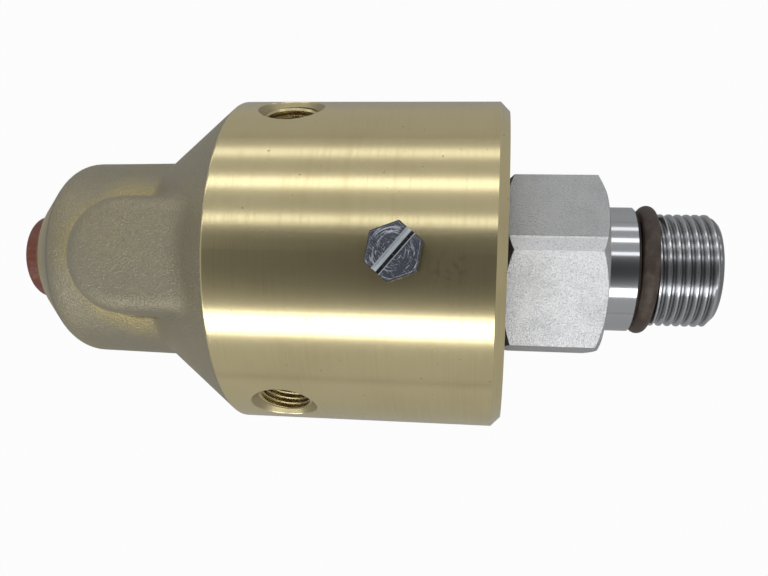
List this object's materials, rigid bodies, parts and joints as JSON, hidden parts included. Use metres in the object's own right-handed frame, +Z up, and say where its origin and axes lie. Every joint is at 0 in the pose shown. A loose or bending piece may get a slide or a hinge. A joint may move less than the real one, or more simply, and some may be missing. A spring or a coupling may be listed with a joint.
{
  "type": "hydraulic rotary union",
  "caption": "Hydraulic rotary union: a brass housing with vent holes and wrench pads, carried on bearings by a hexagonal steel rotor with a thread, a pilot and a flow bore.",
  "frame": {"origin": "on the axis of rotation at the rotor's seating shoulder, where the hexagon meets the pilot", "axes": "+X along the axis, out of the threaded rotor end; +Z up through the grease plug, square to the barrel"},
  "size_m": [0.1245, 0.0578, 0.0608],
  "materials": {
    "cast_brass": "turned barrel, as-cast cone, nose and pads",
    "red_plastic": "moulded, slightly glossy",
    "rotor_steel": "turned, hexagon flats lightly blasted",
    "brown_rubber": "moulded fluorocarbon rubber",
    "black_rubber": "moulded",
    "zinc_steel": "zinc plated",
    "white_nylon": "moulded",
    "bearing_steel": "ground",
    "bearing_balls": "polished",
    "cage_nylon": "moulded",
    "spring_steel": "phosphated and oiled",
    "hard_face": "lapped",
    "carbon": "lapped carbon graphite",
    "stainless": "turned"
  },
  "bodies": {
    "rotor_set": {"rotor": "rotor_steel", "rotor_o_ring": "brown_rubber", "dust_slinger": "black_rubber", "inner_spacer": "bearing_steel", "front_bearing_inner_ring": "bearing_steel", "rear_bearing_inner_ring": "bearing_steel", "rotor_retaining_ring": "spring_steel", "seal_hard_ring": "hard_face", "hard_ring_o_ring": "brown_rubber"},
    "housing_set": {"housing": "cast_brass", "front_bearing_outer_ring": "bearing_steel", "rear_bearing_outer_ring": "bearing_steel", "front_bearing_back_shield": "stainless", "front_bearing_front_shield": "stainless", "rear_bearing_back_shield": "stainless", "rear_bearing_front_shield": "stainless", "outer_spacer": "bearing_steel", "housing_retaining_ring": "spring_steel", "grease_plug": "zinc_steel", "grease_gasket": "white_nylon", "anti_rotation_pin_1": "stainless", "anti_rotation_pin_2": "stainless", "seal_spring": "spring_steel"},
    "front_ball_set": {"front_bearing_balls": "bearing_balls", "front_bearing_cage": "cage_nylon"},
    "rear_ball_set": {"rear_bearing_balls": "bearing_balls", "rear_bearing_cage": "cage_nylon"},
    "floating_seal": {"seal_carrier": "stainless", "carbon_ring": "carbon", "carrier_o_ring": "brown_rubber"},
    "plug": {"port_plug": "red_plastic"}
  },
  "joints": [
    {"name": "housing_spin", "type": "hinge", "parent": "rotor_set", "child": "housing_set", "pos_m": [0, 0, 0], "axis": [1, 0, 0], "continuous": true},
    {"name": "front_cage_spin", "type": "hinge", "parent": "rotor_set", "child": "front_ball_set", "pos_m": [0, 0, 0], "axis": [1, 0, 0], "continuous": true},
    {"name": "rear_cage_spin", "type": "hinge", "parent": "rotor_set", "child": "rear_ball_set", "pos_m": [0, 0, 0], "axis": [1, 0, 0], "continuous": true},
    {"name": "seal_float", "type": "slide", "parent": "housing_set", "child": "floating_seal", "axis": [1, 0, 0], "range_m": [-0.0015, 0], "stiffness_N_per_m": 1000, "springref_m": 0.002, "deforming": ["seal_spring"]},
    {"name": "plug_pull", "type": "slide", "parent": "housing_set", "child": "plug", "axis": [-1, 0, 0], "range_m": [0, 0.03]}
  ],
  "couplings": [
    {"joint": "front_cage_spin", "follows": "housing_spin", "ratio": 0.58065},
    {"joint": "rear_cage_spin", "follows": "housing_spin", "ratio": 0.58065}
  ]
}
